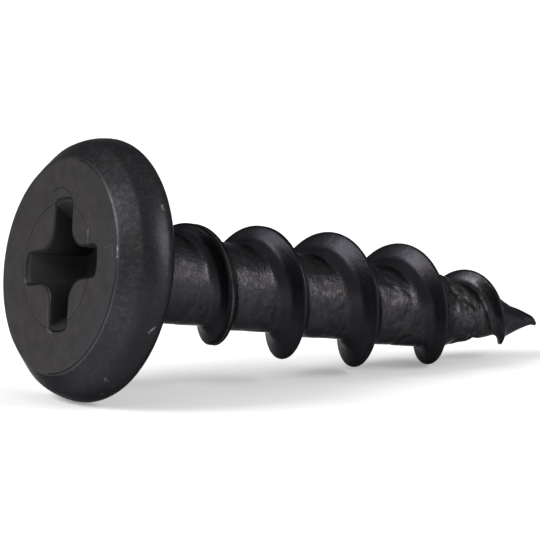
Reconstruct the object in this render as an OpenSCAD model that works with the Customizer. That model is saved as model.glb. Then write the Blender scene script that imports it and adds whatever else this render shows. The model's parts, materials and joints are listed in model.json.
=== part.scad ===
// Assembly screw for wood and board: low round head, cross recess, deep coarse thread and gimlet point.
// It is one solid, cold headed and thread rolled from wire, and it lies on the floor as it comes to rest.
// Lengths are in millimetres and angles in degrees. Along the screw, z counts from the face to the tip.

/* [Head] */
// Widest diameter of the head
head_d = 9.5; // [9:0.1:10]
// Height of the head from its face to its underside
head_h = 2.1; // [2:0.05:2.4]
// Diameter of the flat face
face_d = 7.7; // [7.4:0.05:8]
// Depth below the face at which the head is widest
rim_depth = 1.55; // [1.35:0.05:1.6]
// Radius of the fillet between the underside and the neck
neck_fillet = 0.35; // [0.15:0.05:0.5]

/* [Cross recess] */
// Width of the recess at the face, across two opposite arms
recess_span = 4.7; // [4.2:0.05:5]
// Width of each arm
arm_w = 1.1; // [0.95:0.05:1.2]
// Radius of the rounded corners between the arms
corner_r = 0.8; // [0.5:0.05:0.9]
// Depth of the arms where they meet the cone at the bottom
recess_depth = 1.85; // [1.5:0.05:2]
// Diameter across the arms at that depth
recess_floor_d = 2.3; // [2:0.05:2.5]
// Depth of the cone at the bottom of the recess
recess_cone_h = 0.3; // [0.1:0.05:0.4]
// Turn of the recess about the axis, from the side that lies down before the roll
recess_turn = -10.6; // [-45:0.1:45]

/* [Shank and point] */
// Length from the face to the tip
length = 21; // [20.6:0.1:23]
// Diameter of the plain neck where it leaves the head
neck_d = 3.45; // [3.3:0.05:3.6]
// Diameter of the core where the thread begins
core_start_d = 3.25; // [3.1:0.05:3.3]
// Diameter of the core where the point begins
core_end_d = 2.86; // [2.6:0.02:3]
// Length of the conical point
point_len = 4.65; // [4.3:0.05:5.4]
// Diameter of the blunt end of the tip
tip_d = 0.14; // [0.08:0.02:0.3]

/* [Thread] */
// Outer diameter of the full thread
thread_d = 4.84; // [4.6:0.02:5]
// Distance from one crest to the next along the axis
pitch = 3.2; // [2.9:0.05:3.4]
// Length of the plain neck between the underside and the thread's first crest
plain_len = 2.05; // [1.9:0.05:2.4]
// How far the first turns fall short of the pitch, as they are rolled closer together
lead_in = 0.4; // [0.2:0.05:0.5]
// Turns over which they do so
lead_in_turns = 2.2; // [1.8:0.1:2.6]
// Width of the crest where the thread is full
crest_w = 0.08; // [0.06:0.01:0.14]
// Slope of the flank, from square to the axis
flank_angle = 25; // [22:1:29]
// Slope of the foot of the flank, which stands in for the root's fillet
foot_angle = 52; // [44:1:55]
// Share of the full height that the thread reaches in its first quarter turn
first_rise = 0.55; // [0.4:0.05:0.65]
// Turns over which the thread grows to its full height
run_in_turns = 1.8; // [1.4:0.1:2.2]
// Turns before the tip at which the crest starts to taper
taper_turns = 2.8; // [2.4:0.05:3]
// How full the taper is: 1 is a straight cone, and more is rounder
taper_power = 2.65; // [2.2:0.05:3]
// Depth of the low place in the crest on which the screw rests
dip_depth = 0.1; // [0.04:0.01:0.14]
// Turn of the thread at which the low place is deepest
dip_turn = 3.9; // [3.7:0.01:4.1]
// Length of the low place along the thread, in turns
dip_span = 0.3; // [0.25:0.05:0.6]
// Turns before the tip at which the thread ends
end_turns = 0.27; // [0.2:0.01:0.4]
// Angle about the axis at which the thread starts, from the side that lies down before the roll
start_angle = 33.9; // [0:0.1:360]

/* [Lying pose] */
// Turn of the whole screw about its own axis
roll = 0; // [-180:0.1:180]

/* [Hidden] */
steel_grey = [0.22, 0.21, 0.22];
curve_fn = 96;
steps_per_turn = 48;
over = 0.5;

head_r = head_d / 2;
face_r = face_d / 2;
neck_r = neck_d / 2;
core_start_r = core_start_d / 2;
core_end_r = core_end_d / 2;
tip_r = tip_d / 2;
thread_r = thread_d / 2;

// The shoulder is an arc from the face's edge to the rim, where it runs square to the face.
shoulder_c = (head_r ^ 2 - face_r ^ 2 - rim_depth ^ 2) / (2 * (head_r - face_r));
shoulder_r = head_r - shoulder_c;
edge_r = head_h - rim_depth;

point_z = length - point_len;
thread_z = head_h + plain_len;
tip_turns = (length - thread_z + lead_in) / pitch;
last_turn = tip_turns - end_turns;
last_step = ceil(last_turn * steps_per_turn);
first_rise_turns = 0.25;
fade_turns = 0.2;
lead_in_power = 1.5;
// How far the thread's ends sink under the core, and how deep its foot is rooted in it
sink = 0.12;
root_bury = 0.3;
root_share = 0.45;
// The foot of the flank starts at this share of the thread's height
foot_share = 0.33;

function clamp01(x) = min(max(x, 0), 1);

// Radius of the core at a place along the screw
function core_r(z) =
    z < thread_z ? core_start_r :
    z < point_z ? core_start_r + (core_end_r - core_start_r) * (z - thread_z) / (point_z - thread_z) :
    core_end_r + (tip_r - core_end_r) * min((z - point_z) / point_len, 1);

// Place along the screw at turn t. The first turns fall short of the pitch, and the later ones keep to it.
function turn_z(t) = thread_z + pitch * t - lead_in * (1 - (1 - clamp01(t / lead_in_turns)) ^ lead_in_power);

// Share of the full height that the rolled thread has reached at turn t
function run_in(t) = first_rise * clamp01(t / first_rise_turns) + (1 - first_rise) * clamp01(t / run_in_turns);

function fade_out(t) = clamp01((last_turn - t) / fade_turns);

// Radius of the envelope in which the crests lie, which closes on the tip
function envelope_r(t) = thread_r * (1 - clamp01((t - tip_turns + taper_turns) / taper_turns) ^ taper_power);

// How far the crest lies under its envelope where it was rolled a little low
function dip(t) = dip_depth * cos(90 * clamp01(2 * abs(t - dip_turn) / dip_span)) ^ 2;

function crest_r(t) =
    let (low = core_r(turn_z(t)) - sink)
    low + max(envelope_r(t) - dip(t) - low, 0) * run_in(t) * fade_out(t);

// The rolled crest is flat and wide where the thread isn't full yet.
function land_w(t) = crest_w + 2 * tan(flank_angle) * (thread_r - core_start_r) * (1 - run_in(t));

// Half of the thread's section at turn t, as [half width, radius] from its crest down into the core
function section(t) =
    let (core = core_r(turn_z(t)))
    let (top = crest_r(t))
    let (height = max(top - core, 0))
    let (knee = top - height * (1 - foot_share))
    let (root = core - sink - min(root_bury, root_share * core))
    let (knee_w = land_w(t) / 2 + height * (1 - foot_share) * tan(flank_angle))
    [[land_w(t) / 2, top], [knee_w, knee], [knee_w + (knee - root) * tan(foot_angle), root]];

// A full ring of six points: one flank up, and the other one down
function ring(t) =
    let (half = section(t))
    let (a = start_angle + 360 * t)
    let (sides = concat([for (k = [2:-1:0]) [-half[k].x, half[k].y]], [for (k = [0:2]) half[k]]))
    [for (p = sides) [p.y * cos(a), p.y * sin(a), turn_z(t) + p.x]];

// The screw lies on the edge of its head and on the crest that reaches the floor first.
// Each crest's reach towards the floor gives the tilt at which it would touch.
function touch_tilt(z, reach) =
    let (along = z - rim_depth)
    let (rise = head_r - edge_r - reach)
    asin(edge_r / norm([along, rise])) + atan2(rise, along);

function step_turn(i) = last_turn * i / last_step;
crest_tilts = [
    for (i = [0:last_step])
    let (t = step_turn(i))
    touch_tilt(turn_z(t), crest_r(t) * cos(start_angle + 360 * t + roll))
];
rest_tilt = min(concat(crest_tilts, [touch_tilt(length, tip_r)]));
floor_z = rim_depth * sin(rest_tilt) + (head_r - edge_r) * cos(rest_tilt) + edge_r;
front_x = -face_r * sin(rest_tilt);
tip_x = length * cos(rest_tilt) + tip_r * sin(rest_tilt);

// Half section of the head: x is the radius, and y the depth below the face
module head_profile() {
    square([shoulder_c, head_h]);
    intersection() {
        translate([shoulder_c, rim_depth]) circle(r = shoulder_r, $fn = curve_fn);
        square([head_r + over, rim_depth]);
    }
    intersection() {
        translate([head_r - edge_r, rim_depth]) circle(r = edge_r, $fn = curve_fn);
        translate([0, rim_depth]) square([head_r + over, head_h]);
    }
    translate([0, rim_depth]) square([head_r - edge_r, edge_r]);
}

// Half section of the neck, the core and the point
module shank_profile() {
    polygon([
        [0, rim_depth],
        [neck_r, rim_depth],
        [neck_r, head_h + neck_fillet],
        [core_start_r, thread_z],
        [core_end_r, point_z],
        [tip_r, length],
        [0, length]
    ]);
}

module neck_fillet_profile() {
    difference() {
        translate([neck_r / 2, head_h - neck_fillet]) square([neck_r / 2 + neck_fillet, 2 * neck_fillet]);
        translate([neck_r + neck_fillet, head_h + neck_fillet]) circle(r = neck_fillet, $fn = curve_fn);
    }
}

// The headed blank: everything that is round about the axis
module blank() {
    rotate_extrude($fn = curve_fn) {
        head_profile();
        shank_profile();
        neck_fillet_profile();
    }
}

// The right-hand thread, swept along its helix, with both ends sunk under the core
module thread() {
    rings = [for (i = [0:last_step]) ring(step_turn(i))];
    sides = 6;
    points = [for (r = rings) for (p = r) p];
    skin = [
        for (i = [0:last_step - 1])
        for (k = [0:sides - 1])
        let (a = i * sides + k)
        let (b = i * sides + (k + 1) % sides)
        for (face = [[a, b, b + sides], [a, b + sides, a + sides]])
        face
    ];
    first_cap = [for (k = [sides - 1:-1:0]) k];
    last_cap = [for (k = [0:sides - 1]) last_step * sides + k];
    polyhedron(points = points, faces = concat(skin, [first_cap, last_cap]), convexity = 10);
}

// Outline of the cross, with the wide rounds between its arms
module cross_outline() {
    reach = recess_span + 2 * over;
    square([reach, arm_w], center = true);
    square([arm_w, reach], center = true);
    difference() {
        square(arm_w + 2 * corner_r, center = true);
        for (sx = [-1, 1])
            for (sy = [-1, 1])
                translate([sx, sy] * (arm_w / 2 + corner_r)) circle(r = corner_r, $fn = curve_fn);
    }
}

// The driver's recess: the cross, inside a cone that narrows towards the bottom
module recess() {
    slope = (recess_span - recess_floor_d) / 2 / recess_depth;
    intersection() {
        translate([0, 0, -over]) linear_extrude(recess_depth + recess_cone_h + 2 * over) cross_outline();
        rotate_extrude($fn = curve_fn)
            polygon([
                [0, -over],
                [recess_span / 2 + over * slope, -over],
                [recess_floor_d / 2, recess_depth],
                [0, recess_depth + recess_cone_h]
            ]);
    }
}

// Turns the screw's own frame, +Z from face to tip, onto the floor: +X to the tip, on the head's edge and a crest
module lay_down() {
    translate([-(front_x + tip_x) / 2, 0, floor_z])
        rotate([0, 90 + rest_tilt, 0])
            rotate([0, 0, roll])
                children();
}

module screw() {
    color(steel_grey)
        lay_down()
            difference() {
                union() {
                    blank();
                    thread();
                }
                rotate([0, 0, recess_turn]) recess();
            }
}

screw();
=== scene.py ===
"""Assembly screw lying on a pale floor.

One closed surface stands for the CAD screw. The head is a set of loops from the bottom of the cross
recess to the neck. The shank with its rolled thread is a helical strip made with Geometry Nodes. Both
meet on one ring of the neck. Sizes are in millimetres here and in metres in Blender. In the screw's own
frame z counts from the face to the tip, x points to the side that it lies on, and -y to the camera.
"""

import json
import math
from types import SimpleNamespace

import bmesh
import bpy
import numpy as np
from mathutils import Matrix, Vector, noise

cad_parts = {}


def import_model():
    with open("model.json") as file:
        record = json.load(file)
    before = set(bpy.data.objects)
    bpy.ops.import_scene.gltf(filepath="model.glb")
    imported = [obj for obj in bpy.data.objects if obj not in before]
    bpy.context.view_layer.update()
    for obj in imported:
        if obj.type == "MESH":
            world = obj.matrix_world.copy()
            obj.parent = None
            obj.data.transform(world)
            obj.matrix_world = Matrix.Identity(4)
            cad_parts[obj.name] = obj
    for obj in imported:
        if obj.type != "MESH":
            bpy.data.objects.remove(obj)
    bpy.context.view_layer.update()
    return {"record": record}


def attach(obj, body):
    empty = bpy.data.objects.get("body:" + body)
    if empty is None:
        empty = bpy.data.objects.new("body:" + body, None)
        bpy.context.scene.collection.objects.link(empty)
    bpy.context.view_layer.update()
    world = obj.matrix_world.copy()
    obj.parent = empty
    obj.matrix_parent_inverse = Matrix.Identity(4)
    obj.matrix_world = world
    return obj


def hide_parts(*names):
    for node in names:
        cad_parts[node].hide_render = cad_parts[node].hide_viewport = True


MM = 0.001

# Head
HEAD_R = 4.75
HEAD_H = 2.1
FACE_R = 3.85
RIM_Z = 1.55
EDGE_R = 0.55
RIDGE_Z = 0.68
BEVEL_BULGE = 0.1
NECK_FILLET = 0.35

# Hollows pressed into the headed blank: how deep, how many to the millimetre, and where they end
BROAD_HOLLOW = (0.008, 0.8)
FINE_HOLLOW = (0.006, 3.1)
HOLLOWS_END = 2.5

# Cross recess
RECESS_R = 2.35
ARM_HALF = 0.55
ARM_ROUND = 0.8
RECESS_DEPTH = 1.85
RECESS_FLOOR_R = 1.15
RECESS_CONE_H = 0.3
RECESS_TURN = -10.6
RECESS_SHIFT = (-0.06, -0.12)
RECESS_LIP = 0.07
# Painted shade on the rings of the recess's lip, which damps the highlight there
LIP_SHADE = 0.75

# Shank, thread and point
LENGTH = 21.0
NECK_R = 1.725
NECK_RING_Z = HEAD_H + NECK_FILLET
CORE_START_R = 1.625
CORE_END_R = 1.43
POINT_Z = 16.1
TIP_R = 0.07
THREAD_R = 2.42
PITCH = 3.2
THREAD_Z = 4.15
START_ANGLE = 33.9

# Waves of the rolled root
WAVE_SEED = 3
SEED_STEP = 7.31

# Mesh density
COLUMNS = 192
STRIP_ROWS = 48
ROW_CROWDING = 1.5
FIRST_TURN = -1.125
LAST_TURN = 6.25
FLOOR_ROWS = 7
WALL_ROWS = 22
LIP_ROWS = 5
FACE_ROWS = 34
BEVEL_ROWS = 16
SHOULDER_ROWS = 12
EDGE_ROWS = 14
SEAT_ROWS = 16
FILLET_ROWS = 8

# Attributes of the surface that the finish reads: the bare root, painted shade on the crest and the recess's
# lip, and the seam
MARKS = ("root", "thick", "seam")

# Camera of the photograph, with a long lens: angles in degrees, offset in millimetres
VIEW_AZIMUTH = 57.8387
VIEW_ELEVATION = 8.3417
VIEW_ROLL = 0.3756
VIEW_OFFSET = (0.9445, 3.9368, 219.8552)
FOCAL_PX = 6000
PHOTO_PX = 540
SENSOR = 36.0
VIEW_CLIP = (0.01, 20)


# Node trees


class NodeSheet:
    """Short calls that add nodes to a tree and link or set their inputs."""

    def __init__(self, tree):
        self.tree = tree

    def add(self, kind, inputs=None, **settings):
        node = self.tree.nodes.new(kind)
        for name, value in settings.items():
            setattr(node, name, value)
        for name, value in (inputs or {}).items():
            self.feed(node.inputs[name], value)
        return node

    def feed(self, socket, value):
        if isinstance(value, bpy.types.NodeSocket):
            self.tree.links.new(value, socket)
        elif value is not None:
            socket.default_value = value

    def math(self, operation, *values, clamp=False):
        node = self.tree.nodes.new("ShaderNodeMath")
        node.operation = operation
        node.use_clamp = clamp
        for socket, value in zip(node.inputs, values):
            self.feed(socket, value)
        return node.outputs[0]

    def vector_math(self, operation, *values, scale=None):
        node = self.tree.nodes.new("ShaderNodeVectorMath")
        node.operation = operation
        for socket, value in zip(node.inputs, values):
            self.feed(socket, value)
        if scale is not None:
            self.feed(node.inputs["Scale"], scale)
        return node.outputs["Value" if operation in ("LENGTH", "DOT_PRODUCT", "DISTANCE") else "Vector"]

    def ramp(self, value, start, end, low=0.0, high=1.0, smooth=False):
        """The value's place between start and end, as a number between low and high."""
        node = self.tree.nodes.new("ShaderNodeMapRange")
        node.interpolation_type = "SMOOTHSTEP" if smooth else "LINEAR"
        names = ("Value", "From Min", "From Max", "To Min", "To Max")
        for name, number in zip(names, (value, start, end, low, high)):
            self.feed(node.inputs[name], number)
        return node.outputs["Result"]

    def combine(self, x, y, z):
        return self.add("ShaderNodeCombineXYZ", {"X": x, "Y": y, "Z": z}).outputs[0]

    def separate(self, vector):
        return self.add("ShaderNodeSeparateXYZ", {"Vector": vector}).outputs


# Rolled shank


def mm(*values):
    """Millimetres as Blender's metres."""
    return [value * MM for value in values]


# Inputs of the thread's node tree, in metres, turns, degrees and plain shares
THREAD_SIZES = {
    "Pitch": PITCH * MM,
    "Thread Start": THREAD_Z * MM,
    "Start Angle": START_ANGLE,
    "Lead In": 0.4 * MM,
    "Lead In Turns": 2.2,
    "Thread Radius": THREAD_R * MM,
    "Neck Radius": NECK_R * MM,
    "Neck Ring": NECK_RING_Z * MM,
    "Core Start Radius": CORE_START_R * MM,
    "Core End Radius": CORE_END_R * MM,
    "Root Slope": 0.1 * MM,
    "Slope Fade": 1.0 * MM,
    "Point Start": POINT_Z * MM,
    "Point Fullness": 0.05 * MM,
    "Length": LENGTH * MM,
    "Tip Radius": TIP_R * MM,
    "Point Bend": 0.11 * MM,
    "Tip Hook": 0.14 * MM,
    "Hook Length": 0.3 * MM,
    "Crest Width": 0.08 * MM,
    "Flank Slope": math.tan(math.radians(25)),
    "Foot Slope": math.tan(math.radians(52)),
    "Foot Share": 0.33,
    "Lean To Tip": 0.6,
    "Lean To Head": 0.35,
    "Seam Depth": 0.05 * MM,
    "Seam Half Width": 0.07 * MM,
    "Crest Round": 0.05 * MM,
    "Root Fillet": 0.11 * MM,
    "First Rise": 0.55,
    "Run In Turns": 1.8,
    "Taper Turns": 2.8,
    "Taper Power": 2.65,
    "Low Place Depth": 0.1 * MM,
    "Low Place Turn": 3.9,
    "Low Place Span": 0.3,
    "Low Place Pinch": 0.3,
    "End Turns": 0.27,
    "Fade Turns": 0.2,
    "Sink": 0.12 * MM,
    "Lowest Fin": 0.02 * MM,
    "Crumple": 0.15 * MM,
}

# Spans over which a feature of the thread starts, grows or ends: two inputs each
THREAD_SPANS = {
    "Slope Turn": (0.0, 0.3),
    "First Rise Turn": (0.0, 0.25),
    "Seam Turn": (0.05, 0.3),
    "Seam Unfilled": mm(0.04, 0.12),
    "Blunt Unfilled": mm(0.02, 0.08),
    "Lean Turn": (3.4, 4.9),
    "Fillet Turn": (3.9, 4.6),
    "Fillet Growth": (1.0, 2.6),
    "Crumple Place": mm(11.0, 17.5),
    "Crumple Share": (0.15, 1.1),
    "Crumple Off Crest": (0.18, 0.42),
    "Crumple End": mm(18.3, 20.2),
    "Hollow": (0.38, 0.72),
    "Bare Off Crest": (0.5, 0.43),
    "Bend Place": mm(18.4, 20.4),
    "Fin Height": mm(0.02, 0.3),
    "Rubbed Turn": (4.1, 4.6),
}


def span(size, name):
    """The two ends of a span, among the sizes."""
    return size[name + " From"], size[name + " To"]


def thread_values():
    """Every number that the thread's node tree is given, by the name of its input."""
    values = dict(THREAD_SIZES)
    for name, (start, end) in THREAD_SPANS.items():
        values[name + " From"] = start
        values[name + " To"] = end
    return values


def thread_sockets(tree):
    """The strip's inputs, one for each of the thread's values, and its output."""
    face = tree.interface
    face.new_socket("Geometry", in_out="INPUT", socket_type="NodeSocketGeometry")
    for name in thread_values():
        face.new_socket(name, in_out="INPUT", socket_type="NodeSocketFloat")
    face.new_socket("Seed", in_out="INPUT", socket_type="NodeSocketInt")
    face.new_socket("Metal", in_out="INPUT", socket_type="NodeSocketMaterial")
    face.new_socket("Geometry", in_out="OUTPUT", socket_type="NodeSocketGeometry")


def along_at(sheet, size, turns):
    """Place along the screw: the first turns fall short of the pitch, and the later ones keep to it."""
    m = sheet.math
    left = m("SUBTRACT", 1.0, m("DIVIDE", turns, size["Lead In Turns"], clamp=True))
    short = m("MULTIPLY", size["Lead In"], m("SUBTRACT", 1.0, m("POWER", left, 1.5)))
    return m("SUBTRACT", m("ADD", size["Thread Start"], m("MULTIPLY", size["Pitch"], turns)), short)


def core_at(sheet, size, height):
    """Radius of the core: it narrows from the neck, tapers to the point, and is slightly full there."""
    m = sheet.math
    start, end = size["Core Start Radius"], size["Core End Radius"]
    neck = sheet.ramp(height, size["Neck Ring"], size["Thread Start"], size["Neck Radius"], start)
    straight = sheet.ramp(height, size["Thread Start"], size["Point Start"], start, end)
    cone = sheet.ramp(height, size["Point Start"], size["Length"], end, size["Tip Radius"])
    above = m("SUBTRACT", neck, start)
    bulge = m("SINE", m("MULTIPLY", sheet.ramp(height, size["Point Start"], size["Length"]), math.pi))
    cone = m("ADD", cone, m("MULTIPLY", bulge, size["Point Fullness"]))
    return m("ADD", above, m("SUBTRACT", m("ADD", straight, cone), end))


def strip_places(sheet, size):
    """The flat grid, and for each of its points the turn, the place along the screw and the core there."""
    m = sheet.math
    steps = round((LAST_TURN - FIRST_TURN) * COLUMNS)
    counts = {"Size X": 1.0, "Size Y": 1.0, "Vertices X": steps + 1, "Vertices Y": STRIP_ROWS + 1}
    grid = sheet.add("GeometryNodeMeshGrid", counts).outputs["Mesh"]
    place = sheet.separate(sheet.add("GeometryNodeInputPosition").outputs[0])
    across = m("MULTIPLY", place["Y"], 2.0)
    crowded = m("MULTIPLY", m("SIGN", across), m("POWER", m("ABSOLUTE", across), ROW_CROWDING))

    at = SimpleNamespace()
    at.turn = sheet.ramp(place["X"], -0.5, 0.5, FIRST_TURN, LAST_TURN)
    at.offset = m("MULTIPLY", crowded, 0.5)
    at.off_crest = m("ABSOLUTE", at.offset)
    here = m("ADD", at.turn, at.offset)
    at.raw_z = along_at(sheet, size, here)
    at.z = m("MINIMUM", m("MAXIMUM", at.raw_z, size["Neck Ring"]), size["Length"])
    at.crest_z = along_at(sheet, size, at.turn)
    at.crest_core = core_at(sheet, size, at.crest_z)

    # The root slopes like a saw's tooth from one turn to the next
    past = m("ADD", at.offset, m("LESS_THAN", at.offset, 0.0))
    sloping = m("MULTIPLY", size["Root Slope"], m("SUBTRACT", 0.5, past))
    sloping = m("MULTIPLY", sloping, sheet.ramp(here, *span(size, "Slope Turn")))
    slope_end = m("ADD", size["Point Start"], size["Slope Fade"])
    sloping = m("MULTIPLY", sloping, sheet.ramp(at.z, slope_end, size["Point Start"]))
    at.core = m("ADD", core_at(sheet, size, at.z), sloping)
    return grid, at


def crest_line(sheet, size, at):
    """Radius of the crest along the thread: the run-in, the low place, the taper and the end."""
    m = sheet.math
    first = m("MULTIPLY", size["First Rise"], sheet.ramp(at.turn, *span(size, "First Rise Turn")))
    left = m("SUBTRACT", 1.0, size["First Rise"])
    later = m("MULTIPLY", left, sheet.ramp(at.turn, 0.0, size["Run In Turns"]))
    at.run_in = m("ADD", first, later)

    threaded = m("ADD", m("SUBTRACT", size["Length"], size["Thread Start"]), size["Lead In"])
    tip_turns = m("DIVIDE", threaded, size["Pitch"])
    last_turn = m("SUBTRACT", tip_turns, size["End Turns"])
    at.fade_out = m("DIVIDE", m("SUBTRACT", last_turn, at.turn), size["Fade Turns"], clamp=True)
    tapered = m("ADD", m("SUBTRACT", at.turn, tip_turns), size["Taper Turns"])
    tapered = m("DIVIDE", tapered, size["Taper Turns"], clamp=True)
    narrowed = m("SUBTRACT", 1.0, m("POWER", tapered, size["Taper Power"]))
    envelope = m("MULTIPLY", size["Thread Radius"], narrowed)

    off_low = m("ABSOLUTE", m("SUBTRACT", at.turn, size["Low Place Turn"]))
    off_low = m("DIVIDE", m("MULTIPLY", off_low, 2.0), size["Low Place Span"], clamp=True)
    at.low_share = m("POWER", m("COSINE", m("MULTIPLY", off_low, math.pi / 2)), 2.0)
    low_place = m("MULTIPLY", size["Low Place Depth"], at.low_share)

    sunk = m("SUBTRACT", at.crest_core, size["Sink"])
    reach = m("MAXIMUM", m("SUBTRACT", m("SUBTRACT", envelope, low_place), sunk), 0.0)
    at.crest = m("ADD", sunk, m("MULTIPLY", reach, m("MULTIPLY", at.run_in, at.fade_out)))


def fin_section(sheet, size, at):
    """The thread's section: crest, flanks with a steeper foot, and the seam where it isn't full."""
    m = sheet.math
    full_height = m("SUBTRACT", size["Thread Radius"], size["Core Start Radius"])
    spare = m("MULTIPLY", size["Flank Slope"], full_height)
    at.unfilled = m("MULTIPLY", spare, m("SUBTRACT", 1.0, at.run_in))
    half_land = m("ADD", m("DIVIDE", size["Crest Width"], 2.0), at.unfilled)
    at.height = m("MAXIMUM", m("SUBTRACT", at.crest, at.crest_core), 0.0)
    flank_height = m("MULTIPLY", at.height, m("SUBTRACT", 1.0, size["Foot Share"]))
    knee = m("SUBTRACT", at.crest, flank_height)

    # Towards the point the dies lean the thread: steep on the head's side, and broad on the tip's side
    both = m("ADD", size["Lean To Tip"], size["Lean To Head"])
    to_head = m("MULTIPLY", m("LESS_THAN", at.offset, 0.0), both)
    lean = m("SUBTRACT", size["Lean To Tip"], to_head)
    lean = m("MULTIPLY", lean, sheet.ramp(at.turn, *span(size, "Lean Turn")))
    pinch = m("MULTIPLY", at.low_share, size["Low Place Pinch"])
    lean = m("SUBTRACT", m("MULTIPLY", lean, at.fade_out), pinch)
    slope = m("MULTIPLY", size["Flank Slope"], m("ADD", 1.0, lean))
    foot_slope = m("MULTIPLY", size["Foot Slope"], m("ADD", 1.0, lean))

    x = m("ABSOLUTE", m("SUBTRACT", at.raw_z, at.crest_z))
    knee_x = m("ADD", half_land, m("MULTIPLY", flank_height, slope))
    flank = m("SUBTRACT", at.crest, m("DIVIDE", m("SUBTRACT", x, half_land), slope))
    foot = m("SUBTRACT", knee, m("DIVIDE", m("SUBTRACT", x, knee_x), foot_slope))
    fin = m("SMOOTH_MIN", m("MAXIMUM", flank, foot), at.crest, size["Crest Round"])

    # Where the thread isn't full, the metal that flowed up from both sides meets in a thin seam
    line = sheet.ramp(x, 0.0, size["Seam Half Width"], 1.0, 0.0, smooth=True)
    seam = m("MULTIPLY", line, sheet.ramp(at.unfilled, *span(size, "Seam Unfilled")))
    at.seam = m("MULTIPLY", seam, sheet.ramp(at.turn, *span(size, "Seam Turn")))
    at.fin = m("SUBTRACT", fin, m("MULTIPLY", at.seam, size["Seam Depth"]))


def wavy_root(sheet, size, at):
    """The rolled root is wavy, and more so towards the point, where the dies pinch the wire."""
    m = sheet.math
    angle = m("RADIANS", m("ADD", size["Start Angle"], m("MULTIPLY", at.turn, 360.0)))
    at.around = sheet.combine(m("COSINE", angle), m("SINE", angle), 0.0)
    along = sheet.combine(0.0, 0.0, m("MULTIPLY", at.z, 1000.0))
    on_core = sheet.vector_math("SCALE", at.around, scale=m("MULTIPLY", at.core, 1000.0))
    waves = {
        "Vector": sheet.vector_math("ADD", on_core, along),
        "W": m("MULTIPLY", size["Seed"], SEED_STEP),
        "Scale": 1.2,
        "Detail": 3.0,
        "Roughness": 0.5,
    }
    wide = sheet.add("ShaderNodeTexNoise", waves, noise_dimensions="4D").outputs[0]
    share = sheet.ramp(at.z, *span(size, "Crumple Place"), *span(size, "Crumple Share"))
    off_crest = sheet.ramp(at.off_crest, *span(size, "Crumple Off Crest"), smooth=True)
    share = m("MULTIPLY", share, off_crest)
    hollow = sheet.ramp(wide, *span(size, "Hollow"), smooth=True)
    dent = m("MULTIPLY", m("MULTIPLY", hollow, share), size["Crumple"])
    before_tip = sheet.ramp(at.z, *span(size, "Crumple End"), 1.0, 0.0)
    at.wavy_core = m("SUBTRACT", at.core, m("MULTIPLY", dent, before_tip))


def closed_skin(sheet, size, at):
    """Places of the skin: the fin on the root, one ring on the neck, one point at the tip, and the bend."""
    m = sheet.math
    growth = sheet.ramp(at.turn, *span(size, "Fillet Turn"), *span(size, "Fillet Growth"))
    fillet = m("MULTIPLY", size["Root Fillet"], growth)
    rise = m("SUBTRACT", m("SMOOTH_MAX", at.fin, at.wavy_core, fillet), at.wavy_core)
    # Halfway between two turns the skin is the bare core, so that the strip's long edges meet
    rise = m("MULTIPLY", rise, sheet.ramp(at.off_crest, *span(size, "Bare Off Crest")))
    at.radius = m("MAXIMUM", m("ADD", at.wavy_core, rise), m("MULTIPLY", at.core, 0.5))

    at_ring = m("COMPARE", at.z, size["Neck Ring"], 1e-7)
    at_tip = m("GREATER_THAN", at.raw_z, m("SUBTRACT", size["Length"], 1e-8))
    off_ring = m("MULTIPLY", m("SUBTRACT", 1.0, at_ring), at.radius)
    closed = m("ADD", m("MULTIPLY", at_ring, size["Neck Radius"]), off_ring)
    closed = m("MULTIPLY", closed, m("SUBTRACT", 1.0, at_tip))
    skin = sheet.vector_math("SCALE", at.around, scale=closed)
    skin = sheet.vector_math("ADD", skin, sheet.combine(0.0, 0.0, at.z))

    # The point is bent a little off the axis, and its last bit hooks back
    bend = sheet.ramp(at.z, *span(size, "Bend Place"), 0.0, -1.0, smooth=True)
    bent = m("MULTIPLY", bend, size["Point Bend"])
    hook_start = m("SUBTRACT", size["Length"], size["Hook Length"])
    hooked = m("POWER", sheet.ramp(at.z, hook_start, size["Length"]), 2.0)
    bent = m("ADD", bent, m("MULTIPLY", hooked, size["Tip Hook"]))
    return sheet.vector_math("ADD", skin, sheet.combine(bent, 0.0, 0.0))


def skin_marks(sheet, size, at):
    """What the finish reads off the skin: the bare root, painted shade on the crest that damps its highlight,
    and the seam.
    """
    m = sheet.math
    full = m("MAXIMUM", m("SUBTRACT", at.crest, at.core), size["Lowest Fin"])
    fin_share = m("DIVIDE", m("SUBTRACT", at.radius, at.core), full, clamp=True)
    fin_here = sheet.ramp(at.height, *span(size, "Fin Height"))
    bare = m("SUBTRACT", 1.0, m("MULTIPLY", sheet.ramp(fin_share, 0.03, 0.12, smooth=True), fin_here))
    root = m("MAXIMUM", bare, sheet.ramp(at.turn, *span(size, "Rubbed Turn"), 0.0, 0.6))
    blunt = sheet.ramp(at.unfilled, *span(size, "Blunt Unfilled"), 0.5, 1.0)
    # Painted shade along the crest, stronger where the thread is full, which damps the highlight there
    thick = m("MULTIPLY", sheet.ramp(fin_share, 0.8, 0.95), blunt)
    return zip(MARKS, (root, thick, at.seam))


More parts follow.
